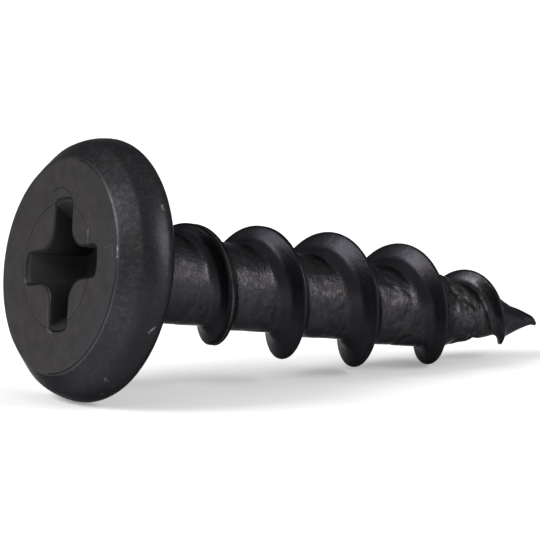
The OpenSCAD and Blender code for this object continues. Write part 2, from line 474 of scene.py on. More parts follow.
def thread_tree():
    """The helical strip: X of the grid runs along the thread, and Y across one pitch of it."""
    tree = bpy.data.node_groups.new("Rolled thread", "GeometryNodeTree")
    thread_sockets(tree)
    sheet = NodeSheet(tree)
    size = sheet.add("NodeGroupInput").outputs
    shape, at = strip_places(sheet, size)
    crest_line(sheet, size, at)
    fin_section(sheet, size, at)
    wavy_root(sheet, size, at)
    skin = closed_skin(sheet, size, at)
    for name, value in skin_marks(sheet, size, at):
        mark = {"Geometry": shape, "Name": name, "Value": value}
        shape = sheet.add("GeometryNodeStoreNamedAttribute", mark, domain="POINT").outputs[0]
    for kind, inputs in (
        ("GeometryNodeSetPosition", {"Position": skin}),
        ("GeometryNodeMergeByDistance", {"Distance": 1e-6}),
        ("GeometryNodeRealizeInstances", {}),
        ("GeometryNodeSetMaterial", {"Material": size["Metal"]}),
    ):
        shape = sheet.add(kind, {"Geometry": shape, **inputs}).outputs[0]
    sheet.add("NodeGroupOutput", {"Geometry": shape})
    return tree


def rolled_shank(metal):
    """The neck below its ring, the core, the thread and the point, as a plain mesh in the screw's frame."""
    base = bpy.data.objects.new("shank_strip", bpy.data.meshes.new("shank_strip"))
    bpy.context.scene.collection.objects.link(base)
    modifier = base.modifiers.new("Rolled thread", "NODES")
    modifier.node_group = thread_tree()
    items = modifier.node_group.interface.items_tree
    sockets = {item.name: item.identifier for item in items if item.in_out == "INPUT"}
    for name, value in thread_values().items():
        modifier[sockets[name]] = float(value)
    modifier[sockets["Seed"]] = WAVE_SEED
    modifier[sockets["Metal"]] = metal
    bpy.context.view_layer.update()
    shown = base.evaluated_get(bpy.context.evaluated_depsgraph_get())
    mesh = bpy.data.meshes.new_from_object(shown)
    base.modifiers.remove(modifier)
    bpy.data.objects.remove(base)
    return mesh


# Head


def arm_side(s):
    """A point on an arm's side, s from the middle of the round between two arms, and its outward normal."""
    corner = ARM_HALF + ARM_ROUND
    arc = ARM_ROUND * math.pi / 4
    if s < arc:
        a = math.radians(225) + s / ARM_ROUND
        return corner + ARM_ROUND * math.cos(a), corner + ARM_ROUND * math.sin(a), -math.cos(a), -math.sin(a)
    return corner + s - arc, ARM_HALF, 0.0, 1.0


def arm_corner(limit):
    """How far along an arm's side the end of the arm lies, where the recess is limit wide from the axis."""
    low, high = 0.0, 4.0
    for _ in range(40):
        mid = (low + high) / 2
        x, y = arm_side(mid)[:2]
        low, high = (mid, high) if math.hypot(x, y) < limit else (low, mid)
    return low


def cross_loop(limit, outset=0.0):
    """The outline of the recess as COLUMNS points round the axis, from the middle of one arm's end."""
    half = COLUMNS // 8
    end_count = half // 4
    side_count = half - end_count
    corner_s = arm_corner(limit)
    x, y = arm_side(corner_s)[:2]
    corner_a = math.atan2(y, x)
    eighth = []
    for i in range(end_count):
        a = corner_a * i / end_count
        eighth.append((limit * math.cos(a), limit * math.sin(a), math.cos(a), math.sin(a)))
    for i in range(side_count + 1):
        px, py, nx, ny = arm_side(corner_s * (1 - i / side_count))
        if i == 0:
            nx, ny = math.cos(corner_a) + nx, math.sin(corner_a) + ny
            span = math.hypot(nx, ny)
            nx, ny = nx / span, ny / span
        eighth.append((px, py, nx, ny))
    mirrored = [(py, px, ny, nx) for px, py, nx, ny in reversed(eighth[:-1])]
    quarter = (eighth + mirrored)[:-1]
    loop = []
    for k in range(4):
        c, s = math.cos(k * math.pi / 2), math.sin(k * math.pi / 2)
        for px, py, nx, ny in quarter:
            px, py = px + nx * outset, py + ny * outset
            loop.append((px * c - py * s, px * s + py * c))
    loop = np.array(loop)
    for _ in range(2):
        loop = (np.roll(loop, 1, axis=0) + 2 * loop + np.roll(loop, -1, axis=0)) / 4
    t = math.radians(RECESS_TURN)
    return loop @ np.array([[math.cos(t), math.sin(t)], [-math.sin(t), math.cos(t)]]) + np.array(RECESS_SHIFT)


def column_offset():
    """The column of the round loops that lies nearest to the middle of the recess's first arm."""
    return round((RECESS_TURN - START_ANGLE) / 360 * COLUMNS)


def round_loop(radius):
    first = column_offset()
    angles = [math.radians(START_ANGLE + 360 * (j + first) / COLUMNS) for j in range(COLUMNS)]
    return np.array([(radius * math.cos(a), radius * math.sin(a)) for a in angles])


def arc_points(centre, radius, start, end, count):
    """Points (radius from the axis, depth) along an arc of the head's section, angles in degrees."""
    steps = [math.radians(start + (end - start) * i / count) for i in range(count + 1)]
    return [(centre[0] + radius * math.cos(a), centre[1] + radius * math.sin(a)) for a in steps]


def level(loop, depth):
    """A loop at a depth below the face, which may change from point to point."""
    return np.column_stack([loop, np.broadcast_to(np.asarray(depth, float), (COLUMNS,))])


def recess_floor_loops():
    """The conical bottom of the recess, from near its middle to the foot of the walls."""
    centre = np.array(RECESS_SHIFT)
    foot = cross_loop(RECESS_FLOOR_R)
    rings = [centre + (foot - centre) * k / FLOOR_ROWS for k in range(1, FLOOR_ROWS)] + [foot]
    loops = []
    for ring in rings:
        off = np.linalg.norm(ring - centre, axis=1)
        loops.append(level(ring, RECESS_DEPTH + RECESS_CONE_H * (1 - off / RECESS_FLOOR_R)))
    return loops


def recess_wall_loops():
    """The walls of the recess, which widen from its bottom to the lip."""
    loops = []
    for k in range(1, WALL_ROWS + 1):
        depth = RECESS_DEPTH + (RECESS_LIP - RECESS_DEPTH) * k / WALL_ROWS
        limit = RECESS_R + (RECESS_FLOOR_R - RECESS_R) * depth / RECESS_DEPTH
        loops.append(level(cross_loop(limit), depth))
    return loops


def recess_lip_loops():
    """The rounded lip where the recess meets the face."""
    loops = []
    for k in range(1, LIP_ROWS + 1):
        a = math.radians(90 * k / LIP_ROWS)
        out = RECESS_LIP * (1 - math.cos(a))
        loops.append(level(cross_loop(RECESS_R, out), RECESS_LIP * (1 - math.sin(a))))
    return loops


def face_loops():
    """The flat face, from the outline of the recess to a circle just inside its edge."""
    inner, outer = cross_loop(RECESS_R, RECESS_LIP), round_loop(FACE_R - 0.06)
    shares = [k / FACE_ROWS for k in range(1, FACE_ROWS + 1)]
    return [level((1 - share) * inner + share * outer, 0.0) for share in shares]


def flattened(arc):
    """An arc drawn in towards its chord, so that it bulges only a little."""
    (r0, z0), (r1, z1) = arc[0], arc[-1]
    points = []
    for k, (radius, depth) in enumerate(arc):
        share = k / (len(arc) - 1)
        chord_r, chord_z = r0 + (r1 - r0) * share, z0 + (z1 - z0) * share
        points.append((chord_r + (radius - chord_r) * BEVEL_BULGE, chord_z + (depth - chord_z) * BEVEL_BULGE))
    return points


def head_section():
    """The head's section from the face's edge over the rim and the seat to the neck's ring."""
    shoulder_c = (HEAD_R**2 - FACE_R**2 - RIM_Z**2) / (2 * (HEAD_R - FACE_R))
    shoulder_r = HEAD_R - shoulder_c
    start = -math.degrees(math.acos((FACE_R - shoulder_c) / shoulder_r))
    ridge = -math.degrees(math.asin((RIM_Z - RIDGE_Z) / shoulder_r))
    section = [(FACE_R - 0.03, 0.0), (FACE_R - 0.005, 0.008)]
    section += flattened(arc_points((shoulder_c, RIM_Z), shoulder_r, start + 1, ridge, BEVEL_ROWS))
    section += arc_points((shoulder_c, RIM_Z), shoulder_r, ridge, 0, SHOULDER_ROWS)[1:]
    section += arc_points((HEAD_R - EDGE_R, RIM_Z), EDGE_R, 0, 90, EDGE_ROWS)[1:]
    edge = HEAD_R - EDGE_R
    seat = NECK_R + NECK_FILLET
    section += [(edge + (seat - edge) * k / SEAT_ROWS, HEAD_H) for k in range(1, SEAT_ROWS + 1)]
    section += arc_points((seat, HEAD_H + NECK_FILLET), NECK_FILLET, -90, -180, FILLET_ROWS)[1:]
    return section


def head_loops():
    """Loops from the bottom of the recess to the neck's ring, and how much painted shade each gets."""
    recess = recess_floor_loops() + recess_wall_loops()
    lip = recess_lip_loops()
    outside = face_loops() + [level(round_loop(radius), depth) for radius, depth in head_section()]
    shades = [0.0] * len(recess) + [LIP_SHADE] * len(lip) + [0.0] * len(outside)
    return recess + lip + outside, shades


def headed_blank(metal):
    """The head with its recess, closed at the recess's bottom and open at the ring on the neck."""
    loops, shades = head_loops()
    bottom = (RECESS_SHIFT[0] * MM, RECESS_SHIFT[1] * MM, (RECESS_DEPTH + RECESS_CONE_H) * MM)
    verts = [bottom]
    for loop in loops:
        verts += [tuple(point) for point in (loop * MM).tolist()]
    faces = [(0, 1 + (j + 1) % COLUMNS, 1 + j) for j in range(COLUMNS)]
    for k in range(len(loops) - 1):
        for j in range(COLUMNS):
            a, b = 1 + k * COLUMNS + j, 1 + k * COLUMNS + (j + 1) % COLUMNS
            faces.append((a, b, b + COLUMNS, a + COLUMNS))
    mesh = bpy.data.meshes.new("headed_blank")
    mesh.from_pydata(verts, [], faces)
    for name in MARKS:
        mesh.attributes.new(name, "FLOAT", "POINT")
    thick = [0.0] + [coat for coat in shades for _ in range(COLUMNS)]
    mesh.attributes["thick"].data.foreach_set("value", thick)
    mesh.materials.append(metal)
    return mesh


# The whole screw


def lying_frame(record):
    """From the screw's own frame to the floor, taken from where the record puts the recess and its axis."""
    mount = next(item for item in record["mounts"] if item["name"] == "drive_recess")
    axis = -Vector(mount["axis"]).normalized()
    lying_side = Vector((axis.z, 0.0, -axis.x))
    across = axis.cross(lying_side)
    turn = Matrix((lying_side, across, axis)).transposed()
    return Matrix.Translation(Vector(mount["pos_m"])) @ turn.to_4x4()


def press_marks(mesh):
    """Small hollows and waves of the headed blank, always into the metal, so that the outer sizes stay."""
    mesh.update()
    count = len(mesh.vertices)
    normals = np.empty(count * 3, np.float32)
    mesh.vertex_normals.foreach_get("vector", normals)
    normals = normals.reshape(-1, 3)
    places = np.empty(count * 3, np.float32)
    mesh.vertices.foreach_get("co", places)
    places = places.reshape(-1, 3)
    radius = np.hypot(places[:, 0], places[:, 1]) / MM
    depth = np.zeros(count)
    for i in np.flatnonzero(places[:, 2] / MM <= HOLLOWS_END):
        spot = Vector(places[i] / MM)
        broad = noise.noise(spot * BROAD_HOLLOW[1])
        fine = noise.noise(spot * FINE_HOLLOW[1] + Vector((7, 3, 1)))
        depth[i] = BROAD_HOLLOW[0] * max(broad, 0) + FINE_HOLLOW[0] * max(fine, 0)
    depth *= np.clip((radius - 0.5) / 0.5, 0, 1)
    places -= normals * (depth * MM)[:, None]
    mesh.vertices.foreach_set("co", places.ravel())
    mesh.update()


def whole_screw(record, metal):
    """Joins the head and the shank on the neck's ring, closes the skin and lays the screw down."""
    shell = bmesh.new()
    for mesh in (headed_blank(metal), rolled_shank(metal)):
        shell.from_mesh(mesh)
        bpy.data.meshes.remove(mesh)
    bmesh.ops.remove_doubles(shell, verts=shell.verts, dist=1.5e-6)
    bmesh.ops.dissolve_degenerate(shell, edges=shell.edges, dist=1e-7)
    bmesh.ops.recalc_face_normals(shell, faces=shell.faces)
    open_edges = sum(1 for edge in shell.edges if len(edge.link_faces) != 2)
    print("screw surface: open or shared edges", open_edges, "faces", len(shell.faces))
    mesh = bpy.data.meshes.new("screw_surface")
    shell.to_mesh(mesh)
    shell.free()
    for polygon in mesh.polygons:
        polygon.use_smooth = True
        polygon.material_index = 0
    mesh.materials.clear()
    mesh.materials.append(metal)
    press_marks(mesh)
    mesh.transform(lying_frame(record))
    mesh.update()
    screw = bpy.data.objects.new("screw_surface", mesh)
    bpy.context.scene.collection.objects.link(screw)
    return screw


# Finish


def scratch_group():
    """How near a place lies to a straight scratch: 1 on its line, and 0 from its width outwards."""
    group = bpy.data.node_groups.new("Scratch", "ShaderNodeTree")
    face = group.interface
    for name in ("Place", "From", "To"):
        face.new_socket(name, in_out="INPUT", socket_type="NodeSocketVector")
    face.new_socket("Width", in_out="INPUT", socket_type="NodeSocketFloat")
    face.new_socket("Mask", in_out="OUTPUT", socket_type="NodeSocketFloat")
    sheet = NodeSheet(group)
    given = sheet.add("NodeGroupInput").outputs
    to_place = sheet.vector_math("SUBTRACT", given["Place"], given["From"])
    run = sheet.vector_math("SUBTRACT", given["To"], given["From"])
    along = sheet.vector_math("DOT_PRODUCT", to_place, run)
    share = sheet.math("DIVIDE", along, sheet.vector_math("DOT_PRODUCT", run, run), clamp=True)
    nearest = sheet.vector_math("SCALE", run, scale=share)
    gap = sheet.vector_math("LENGTH", sheet.vector_math("SUBTRACT", to_place, nearest))
    sheet.add("NodeGroupOutput", {"Mask": sheet.ramp(gap, 0.0, given["Width"], 1.0, 0.0, smooth=True)})
    return group


def on_round(angle, radius, depth):
    """A place in the screw's frame, from its angle off the lying side, radius and depth below the face."""
    a = math.radians(angle)
    return (radius * math.cos(a), radius * math.sin(a), depth)


# Scratches, nicks and painted highlights on edges: from, to, width in millimetres, and how much brighter the
# metal is there
SCRATCHES_AND_GLINTS = (
    # Painted highlights on the face's edge, on the near upper side
    (on_round(209, 3.84, 0.02), on_round(226, 3.87, 0.02), 0.05, 0.08),
    (on_round(252.7, 3.87, 0.03), on_round(258.5, 3.87, 0.03), 0.06, 0.85),
    (on_round(252, 3.56, 0.0), on_round(258, 3.56, 0.0), 0.05, 0.5),
    (on_round(251, 3.56, 0.0), on_round(251, 3.07, 0.0), 0.05, 0.35),
    (on_round(333.6, 4.70, 1.28), on_round(321.2, 4.6, 0.85), 0.06, 0.45),
    (on_round(321.2, 4.6, 0.85), on_round(324.9, 4.72, 1.37), 0.06, 0.35),
    (on_round(288, 4.75, 1.56), on_round(291, 4.73, 1.40), 0.06, 0.9),
    (on_round(234.5, 4.74, 1.49), on_round(236, 4.75, 1.52), 0.10, 0.8),
    ((-1.23, -1.65, 0.0), (-1.50, -1.60, 0.0), 0.06, 1.0),
    ((-1.02, -1.72, 0.0), (-1.23, -1.65, 0.0), 0.05, 0.5),
    # Painted highlights on the recess's lip and the corners of two of its arms
    ((-0.06, 2.45, 0.0), (0.80, 2.22, 0.0), 0.05, 0.15),
    ((0.78, 2.24, 0.0), (0.85, 2.16, 0.0), 0.08, 0.9),
    ((1.19, 0.50, 0.0), (2.33, 0.12, 0.0), 0.05, 0.4),
    ((2.33, 0.12, 0.0), (2.40, -0.15, 0.0), 0.07, 0.8),
)


# The punch's marks on the face: a fine circle, and a crescent that ends where x reaches its limit
SCRIBED_CENTRE = (-0.03, 0.17, 0.0)
SCRIBED_R = 2.27
CRESCENT_CENTRE = (-1.654, 0.52, 0.0)
CRESCENT_R = 1.126
CRESCENT_END = -2.53

# Where the finish and its painted light and shade change, in millimetres below the face
FACE_COAT_Z = 0.08
RIM_SHADE_Z = (0.8, 1.1)
ABOVE_RIDGE_Z = (RIDGE_Z + 0.1, RIDGE_Z - 0.08)
RECESS_SHADE_Z = (0.3, 1.3)
NECK_WEAR_Z = (3.0, 5.0)
NECK_POLISH_Z = (3.5, 5.5)
POINT_WEAR_Z = (15.0, 17.0)
LAST_ROOT_Z = (15.8, 16.4)
LAST_ROOT_END_Z = (18.2, 17.8)
TIP_WEAR_Z = (19.3, 19.9)

# Where the finish and its painted light and shade change across the screw, in millimetres from the axis: x
# grows downwards
RIM_TOP_X = (-3.0, -0.5)
BEVEL_TOP_X = (-1.5, -3.5)
BEVEL_SHADE_X = (2.6, -1.2)
# Sides of the last root that get a painted highlight and painted shade
ROOT_HIGHLIGHT_X = (0.2, -0.8)
ROOT_SHADE_X = (0.2, 1.0)
LAST_FLANK_R = (1.3, 1.5)

# Grains of the coat and the steel: how fine, how many layers and how rough
GRAINS = {
    "fine": (9.0, 3.0, 0.6),
    "cloud": (1.6, 4.0, 0.6),
    "broad": (0.45, 2.0, 0.6),
    "crystals": (5.5, 5.0, 0.78),
    "mottle": (1.1, 4.0, 0.7),
    "pits": (5.0, 5.0, 0.7),
    "rings": (1.0, 3.0, 0.6),
    "patches": (1.1, 3.0, 0.5),
    "brown": (0.8, 3.0, 0.6),
    "gaps": (12.0, 2.0, 0.6),
    "dents": (2.4, 3.0, 0.5),
}

# The dies draw rings round the core, so their grain is squeezed along the screw
DRAWN = (0.7, 0.7, 9.0)

# Colours of the coat
COAT_DARK = (0.021, 0.0200, 0.0243, 1)
COAT_LIGHT = (0.030, 0.0284, 0.0336, 1)
COAT_WARM = (0.024, 0.021, 0.020, 1)
FACE_DARK = (0.068, 0.0640, 0.0655, 1)
FACE_LIGHT = (0.080, 0.0750, 0.0765, 1)
FACE_CRYSTALS = (0.070, 0.071, 0.080, 1)
FACE_MOTTLE = (0.045, 0.0425, 0.044, 1)
# Painted shade for the face's edge
FACE_EDGE_PAINTED_SHADE = (0.020, 0.0195, 0.022, 1)
# Painted shade for the rim
RIM_PAINTED_SHADE = (0.010, 0.0096, 0.0112, 1)
# Painted light for the bevel's upper part
BEVEL_PAINTED_LIGHT = (0.040, 0.039, 0.041, 1)
BEVEL_CRYSTALS = (0.074, 0.077, 0.085, 1)
# Painted shade in the recess, darker with depth
RECESS_SHADE_LIGHT = (0.023, 0.023, 0.025, 1)
RECESS_SHADE_DARK = (0.007, 0.007, 0.008, 1)
# Painted shade for the crests and the recess's lip
PAINTED_SHADE_COAT = (0.008, 0.008, 0.009, 1)
# Painted shade for the last fin's flank
FLANK_PAINTED_SHADE = (0.012, 0.0115, 0.0125, 1)
PRESSED_LINE = (0.016, 0.015, 0.016, 1)
# Painted shade for the crease at the face's edge
CREASE_PAINTED_SHADE = (0.012, 0.011, 0.012, 1)

# Colours of the rubbed and the bare steel
RUBBED = (0.044, 0.0415, 0.0442, 1)
RUBBED_BROWN = (0.042, 0.033, 0.030, 1)
RUBBED_POINT = (0.095, 0.0900, 0.0920, 1)
# Painted highlight and painted shade for the upper and lower sides of the last root
RUBBED_PAINTED_HIGHLIGHT = (0.17, 0.165, 0.168, 1)
RUBBED_PAINTED_SHADE = (0.014, 0.0135, 0.014, 1)
SEAM_STEEL = (0.10, 0.10, 0.108, 1)
# Bright steel for scratches and nicks, and for the painted highlights on edges
BARE_STEEL_AND_GLINT = (0.20, 0.205, 0.215, 1)

# The dull coat reflects little at a grazing angle
GRAZING_TINT = (0.36, 0.36, 0.37, 1)


class FinishSheet(NodeSheet):
    """The finish's tree, with the places, grains and masks that its parts share, in the screw's own frame."""

    def __init__(self, tree, record):
        super().__init__(tree)
        own = lying_frame(record).inverted()
        to_own = {
            "Vector": self.add("ShaderNodeTexCoord").outputs["Object"],
            "Location": own.translation / MM,
            "Rotation": own.to_euler(),
            "Scale": (1 / MM, 1 / MM, 1 / MM),
        }
        self.place = self.add("ShaderNodeMapping", to_own).outputs[0]
        along = self.separate(self.place)
        self.x, self.y, self.depth = along["X"], along["Y"], along["Z"]
        self.flat = self.combine(self.x, self.y, 0.0)
        self.radius = self.vector_math("LENGTH", self.flat)
        self.root, self.thick, self.seam = [self.mark(name) for name in MARKS]
        self.fine, self.cloud = self.grain("fine"), self.grain("cloud")
        self.specks = self.ramp(self.grain("crystals"), 0.46, 0.68)
        near_face, off_middle = self.below(self.depth, FACE_COAT_Z), self.over(self.radius, 0.5)
        self.on_face = self.math("MULTIPLY", near_face, off_middle)

    def mark(self, name):
        return self.add("ShaderNodeAttribute", attribute_name=name, attribute_type="GEOMETRY").outputs["Fac"]

    def below(self, value, limit):
        return self.math("LESS_THAN", value, limit)

    def over(self, value, limit):
        return self.math("GREATER_THAN", value, limit)

    def grain(self, name, place=None):
        place = self.place if place is None else place
        scale, detail, roughness = GRAINS[name]
        texture = {"Vector": place, "Scale": scale, "Detail": detail, "Roughness": roughness}
        return self.add("ShaderNodeTexNoise", texture).outputs[0]

    def blend(self, share, low, high):
        mix = self.add("ShaderNodeMix", data_type="RGBA")
        self.feed(mix.inputs["Factor"], share)
        self.feed(mix.inputs[6], low)
        self.feed(mix.inputs[7], high)
        return mix.outputs[2]


def base_coat(sheet):
    """The dark coat of the whole screw, cloudy, and a little warmer in places."""
    m = sheet.math
    tone = m("ADD", m("MULTIPLY", sheet.fine, 0.45), m("MULTIPLY", sheet.cloud, 0.55))
    coat = sheet.blend(sheet.ramp(tone, 0.35, 0.65), COAT_DARK, COAT_LIGHT)
    return sheet.blend(sheet.ramp(sheet.grain("broad"), 0.45, 0.7, 0.0, 0.35), coat, COAT_WARM)


def face_coat(sheet, coat):
    """The face was pressed smooth, and its coat is more even and a little browner. Its edge gets painted
    shade on the near side, which damps the highlight there.
    """
    m = sheet.math
    face = sheet.blend(sheet.ramp(sheet.cloud, 0.4, 0.65), FACE_DARK, FACE_LIGHT)
    near_edge = m("MULTIPLY", sheet.ramp(sheet.radius, 2.8, 3.7), sheet.ramp(sheet.y, -0.3, -2.6))
    near_edge = m("MULTIPLY", near_edge, m("ADD", m("MULTIPLY", sheet.specks, 0.5), 0.3))
    face = sheet.blend(near_edge, face, FACE_CRYSTALS)
    mottled = m("MULTIPLY", sheet.ramp(sheet.grain("mottle"), 0.48, 0.66), 0.3)
    face = sheet.blend(mottled, face, FACE_MOTTLE)
    coat = sheet.blend(sheet.on_face, coat, face)
    # Painted shade on the face's edge, near side, which damps its highlight
    edge = sheet.ramp(sheet.radius, FACE_R - 0.02, FACE_R)
    edge = m("MULTIPLY", edge, sheet.ramp(sheet.depth, 0.03, 0.015, 0.0, 0.65))
    edge = m("MULTIPLY", edge, sheet.ramp(sheet.y, 0.0, -1.5))
    return sheet.blend(edge, coat, FACE_EDGE_PAINTED_SHADE)


def bevel_coat(sheet, coat):
    """Coarse crystals show as pale specks on the bevel. Painted light and shade: the bevel is painted lighter
    towards its top and inside the ridge, with the specks shown only there, and the rim gets painted shade
    below its top.
    """
    m = sheet.math
    on_bevel = m("MULTIPLY", sheet.below(sheet.depth, HEAD_H - 0.05), sheet.over(sheet.radius, FACE_R - 0.05))
    on_bevel = m("MULTIPLY", on_bevel, sheet.over(sheet.depth, FACE_COAT_Z))
    # Painted shade on the rim below its top
    rim = m("MULTIPLY", sheet.ramp(sheet.depth, *RIM_SHADE_Z, 0.0, 0.5), sheet.ramp(sheet.x, *RIM_TOP_X))
    coat = sheet.blend(m("MULTIPLY", on_bevel, rim), coat, RIM_PAINTED_SHADE)
    # Painted light on the bevel: lighter towards the top and inside the ridge, darker towards the bottom
    above_ridge = sheet.ramp(sheet.depth, *ABOVE_RIDGE_Z, 0.2, 1.0)
    painted_light = m("MAXIMUM", above_ridge, sheet.ramp(sheet.x, *BEVEL_TOP_X, 0.0, 0.8))
    painted_light = m("MULTIPLY", painted_light, sheet.ramp(sheet.x, *BEVEL_SHADE_X, 0.25, 1.0))
    painted_light = m("MULTIPLY", painted_light, sheet.ramp(sheet.cloud, 0.35, 0.6, 0.7, 1.0))
    coat = sheet.blend(m("MULTIPLY", on_bevel, painted_light), coat, BEVEL_PAINTED_LIGHT)
    # The crystals' specks are real, but they show only where the light is painted
    crystals = m("MULTIPLY", on_bevel, m("MULTIPLY", sheet.specks, painted_light))
    return sheet.blend(crystals, coat, BEVEL_CRYSTALS)


def recess_lining_and_shade(sheet):
    """Where the recess gets a dull lining and painted shade: the cone that its walls lie in."""
    m = sheet.math
    in_cone = m("LESS_THAN", m("ADD", sheet.radius, m("MULTIPLY", sheet.depth, 0.62)), 2.62)
    return m("MULTIPLY", in_cone, sheet.ramp(sheet.depth, 0.004, 0.1))


def rubbed_core(sheet):
    """Where the dies rubbed the core, with its pits, its drawn rings and its polished patches."""
    m = sheet.math
    core = SimpleNamespace()
    past_head = m("MULTIPLY", sheet.root, sheet.over(sheet.depth, 2.5))
    core.here = m("MULTIPLY", past_head, sheet.ramp(sheet.depth, *TIP_WEAR_Z, 1.0, 0.5))
    core.pits = sheet.ramp(sheet.grain("pits"), 0.36, 0.56, 0.1, 1.0)
    drawn = sheet.vector_math("MULTIPLY", sheet.place, DRAWN)
    core.rings = sheet.ramp(sheet.grain("rings", drawn), 0.36, 0.6)
    core.patches = sheet.ramp(sheet.grain("patches"), 0.46, 0.60)
    wear = m("MULTIPLY", core.pits, sheet.ramp(sheet.cloud, 0.3, 0.55, 0.35, 1.0))
    wear = m("MULTIPLY", wear, m("ADD", 0.55, m("MULTIPLY", core.rings, 0.45)))
    core.wear = m("MULTIPLY", wear, sheet.ramp(sheet.depth, *NECK_WEAR_Z, 0.2, 1.0))
    return core


def thread_coat(sheet, coat, core):
    """The core is rubbed bright between pits of coat. The last root gets a painted highlight on its upper
    side and painted shade on its lower side, and the last flank and the thread's crest get painted shade.
    """
    m = sheet.math
    rubbed = sheet.blend(sheet.ramp(sheet.grain("brown"), 0.55, 0.75), RUBBED, RUBBED_BROWN)
    rubbed = sheet.blend(sheet.ramp(sheet.depth, *POINT_WEAR_Z, 0.0, 0.2), rubbed, RUBBED_POINT)
    last_root = sheet.ramp(sheet.depth, *LAST_ROOT_Z)
    last_root = m("MULTIPLY", last_root, sheet.ramp(sheet.depth, *LAST_ROOT_END_Z))
    # Painted highlight on the upper side of the last root, painted shade on its lower side
    above = m("MULTIPLY", last_root, sheet.ramp(sheet.x, *ROOT_HIGHLIGHT_X, 0.0, 0.5))
    below = m("MULTIPLY", last_root, sheet.ramp(sheet.x, *ROOT_SHADE_X, 0.0, 0.6))
    rubbed = sheet.blend(above, rubbed, RUBBED_PAINTED_HIGHLIGHT)
    rubbed = sheet.blend(below, rubbed, RUBBED_PAINTED_SHADE)
    coat = sheet.blend(m("MULTIPLY", core.here, core.wear), coat, rubbed)
    # Painted shade on the last fin's flank, which damps its highlight
    last_flank_shade = m("MULTIPLY", last_root, sheet.ramp(sheet.radius, *LAST_FLANK_R))
    coat = sheet.blend(m("MULTIPLY", last_flank_shade, 0.55), coat, FLANK_PAINTED_SHADE)
    # Painted shade on the crests and the recess's lip
    coat = sheet.blend(sheet.thick, coat, PAINTED_SHADE_COAT)
    bright_seam = m("MULTIPLY", sheet.seam, sheet.ramp(sheet.cloud, 0.35, 0.55, 0.3, 0.8))
    return sheet.blend(bright_seam, coat, SEAM_STEEL)


def pressed_lines(sheet):
    """The fine circle and the crescent that the punch pressed into the face."""
    m = sheet.math
    off_circle = m("SUBTRACT", sheet.vector_math("DISTANCE", sheet.flat, SCRIBED_CENTRE), SCRIBED_R)
    scribed = sheet.ramp(m("ABSOLUTE", off_circle), 0.0, 0.045, 1.0, 0.0, smooth=True)
    scribed = m("MULTIPLY", scribed, sheet.on_face)
    off_crescent = m("SUBTRACT", sheet.vector_math("DISTANCE", sheet.flat, CRESCENT_CENTRE), CRESCENT_R)
    crescent = sheet.ramp(m("ABSOLUTE", off_crescent), 0.0, 0.06, 1.0, 0.0, smooth=True)
    crescent = m("MULTIPLY", crescent, sheet.below(sheet.x, CRESCENT_END))
    return m("ADD", m("MULTIPLY", scribed, 0.6), m("MULTIPLY", crescent, 0.5))


def face_crease_shade(sheet):
    """Painted shade: a dark line between the face and the bevel, on the near and lower side."""
    m = sheet.math
    crease = m("ABSOLUTE", m("SUBTRACT", sheet.radius, FACE_R + 0.02))
    crease = sheet.ramp(crease, 0.0, 0.07, 1.0, 0.0, smooth=True)
    crease = m("MULTIPLY", crease, sheet.ramp(sheet.x, 0.8, 2.2, 0.8, 1.0))
    crease = m("MULTIPLY", m("MULTIPLY", crease, sheet.below(sheet.y, -0.3)), sheet.below(sheet.depth, 0.2))
    return m("MULTIPLY", crease, 0.7)


def scratches_and_glints(sheet):
    """All scratches, nicks and painted highlights in one mask, each broken up by the coat's grain."""
    group = scratch_group()
    marks = None
    for start, end, width, strength in SCRATCHES_AND_GLINTS:
        line = {"Place": sheet.place, "From": start, "To": end, "Width": width}
        mask = sheet.add("ShaderNodeGroup", line, node_tree=group).outputs["Mask"]
        one = sheet.math("MULTIPLY", mask, strength)
        marks = one if marks is None else sheet.math("MAXIMUM", marks, one)
    return sheet.math("MULTIPLY", marks, sheet.ramp(sheet.grain("gaps"), 0.38, 0.55))


def coat_roughness(sheet, core, lining_and_shade):
    """Satin all over, smoother where the core is polished, and dull in the recess."""
    m = sheet.math
    rough = m("ADD", 0.37, m("MULTIPLY", m("SUBTRACT", sheet.fine, 0.5), 0.2))
    polished = m("MULTIPLY", core.patches, sheet.ramp(sheet.depth, *NECK_POLISH_Z, 0.0, 0.13))
    polish = m("ADD", m("MULTIPLY", core.wear, 0.1), polished)
    rough = m("SUBTRACT", rough, m("MULTIPLY", core.here, polish))
    return m("ADD", rough, m("MULTIPLY", lining_and_shade, 0.3))


def coat_relief(sheet, core, pressed):
    """Fine relief: the coat's grain, the core's pits and rings, shallow dents, and the pressed lines."""
    m = sheet.math
    uneven = m("ADD", m("MULTIPLY", core.pits, 0.45), m("MULTIPLY", core.rings, 0.25))
    uneven = m("MULTIPLY", uneven, sheet.ramp(core.patches, 0.0, 1.0, 1.0, 0.45))
    relief = m("ADD", m("MULTIPLY", sheet.fine, 0.25), m("MULTIPLY", core.here, uneven))
    dents = m("MULTIPLY", sheet.grain("dents"), sheet.over(sheet.depth, 2.6))
    relief = m("ADD", relief, m("MULTIPLY", dents, 0.9))
    relief = m("SUBTRACT", relief, m("MULTIPLY", pressed, 0.8))
    bump = {"Strength": 0.6, "Distance": 0.03 * MM, "Height": relief}
    return sheet.add("ShaderNodeBump", bump).outputs[0]


